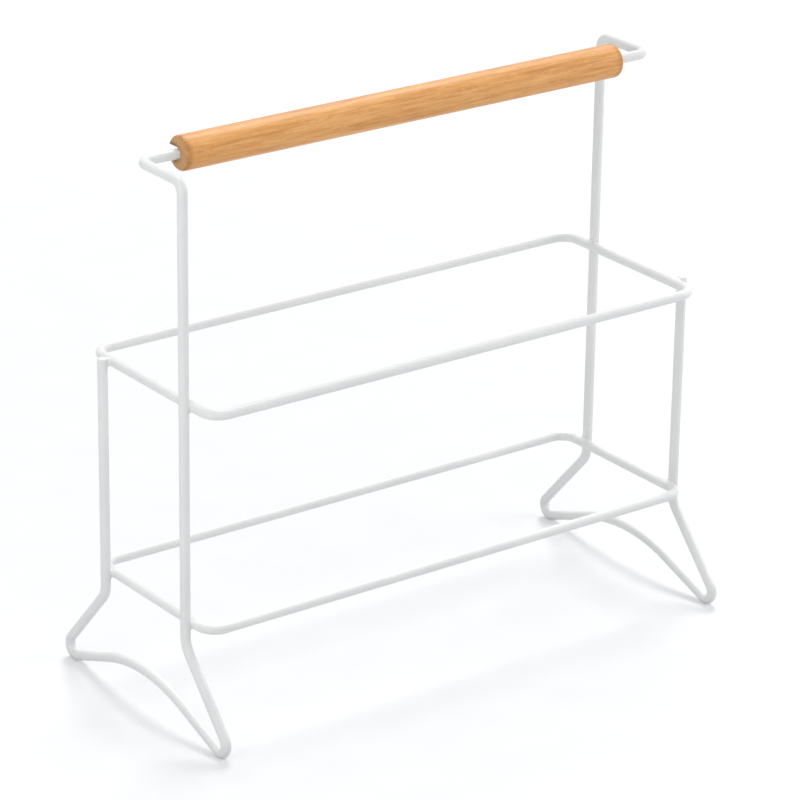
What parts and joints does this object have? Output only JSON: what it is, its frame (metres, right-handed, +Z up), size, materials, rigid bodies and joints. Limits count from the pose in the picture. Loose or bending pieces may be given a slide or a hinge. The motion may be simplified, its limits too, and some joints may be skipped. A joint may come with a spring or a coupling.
{
  "type": "plate rack",
  "caption": "Free-standing two-tier plate rack of bent white-coated wire: open rectangular shelf loops on flared end frames, with a round wooden carrying grip on top.",
  "frame": {"origin": "on the floor, under the middle of the rack", "axes": "+X along the grip, +Y along the shelf depth towards the side that the grip's slot opens to, +Z up"},
  "size_m": [0.305, 0.143, 0.2865],
  "materials": {
    "white_coated_wire": "satin white powder coat",
    "oiled_wood": "oiled light wood with lengthwise grain"
  },
  "bodies": {
    "root": {"left_end_frame": "white_coated_wire", "right_end_frame": "white_coated_wire", "upper_shelf_loop": "white_coated_wire", "lower_shelf_loop": "white_coated_wire", "upper_shelf_welds": "white_coated_wire", "lower_shelf_welds": "white_coated_wire", "handle_grip": "oiled_wood"}
  },
  "joints": []
}
